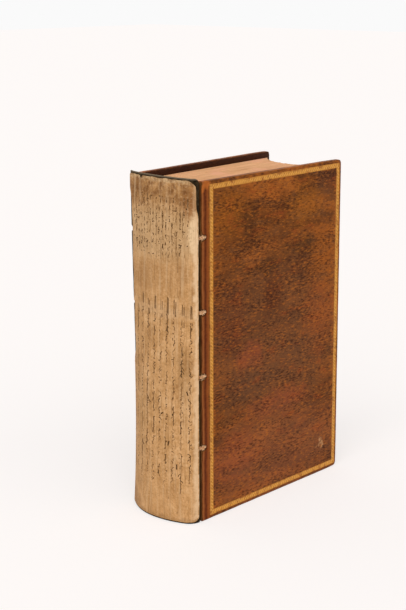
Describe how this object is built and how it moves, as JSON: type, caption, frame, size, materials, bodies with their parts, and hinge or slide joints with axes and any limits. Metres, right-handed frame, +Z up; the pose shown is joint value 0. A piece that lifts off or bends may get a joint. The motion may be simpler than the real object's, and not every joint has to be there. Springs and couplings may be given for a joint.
{
  "type": "antique leather book",
  "caption": "Thick old book in mottled calf boards with a gilt border, its leather spine lost and covered by a parchment strip, both boards opening on laced cords.",
  "frame": {"origin": "on the surface the book stands on, under the middle of its box", "axes": "+Z up from tail to head, +X through the thickness towards the front board, +Y from the spine to the fore-edge"},
  "size_m": [0.0644, 0.1448, 0.212],
  "materials": {
    "pages": "toned rag paper, trimmed edges",
    "lining_cloth": "dark grey-green glued cloth",
    "parchment": "matte parchment waste, stained",
    "hemp_cord": "frayed hemp",
    "pasteboard": "layered pasteboard",
    "calf": "mottled calf, worn satin",
    "endpaper": "toned laid paper",
    "gold_leaf": "rubbed gold leaf"
  },
  "bodies": {
    "block": {"text_block": "pages", "spine_lining": "lining_cloth", "parchment_strip": "parchment", "sewing_cord_1": "hemp_cord", "sewing_cord_2": "hemp_cord", "sewing_cord_3": "hemp_cord", "sewing_cord_4": "hemp_cord"},
    "front_cover": {"front_board": "pasteboard", "front_leather": "calf", "front_pastedown": "endpaper", "front_gilt_border": "gold_leaf", "front_slip_1": "hemp_cord", "front_slip_2": "hemp_cord", "front_slip_3": "hemp_cord", "front_slip_4": "hemp_cord"},
    "rear_cover": {"rear_board": "pasteboard", "rear_leather": "calf", "rear_pastedown": "endpaper", "rear_gilt_border": "gold_leaf", "rear_slip_1": "hemp_cord", "rear_slip_2": "hemp_cord", "rear_slip_3": "hemp_cord", "rear_slip_4": "hemp_cord"}
  },
  "joints": [
    {"name": "front_board_hinge", "type": "hinge", "parent": "block", "child": "front_cover", "pos_m": [0.028, -0.05824, 0.105], "axis": [0, 0, -1], "range_deg": [0, 175]},
    {"name": "rear_board_hinge", "type": "hinge", "parent": "block", "child": "rear_cover", "pos_m": [-0.028, -0.05824, 0.105], "axis": [0, 0, 1], "range_deg": [0, 175]}
  ]
}
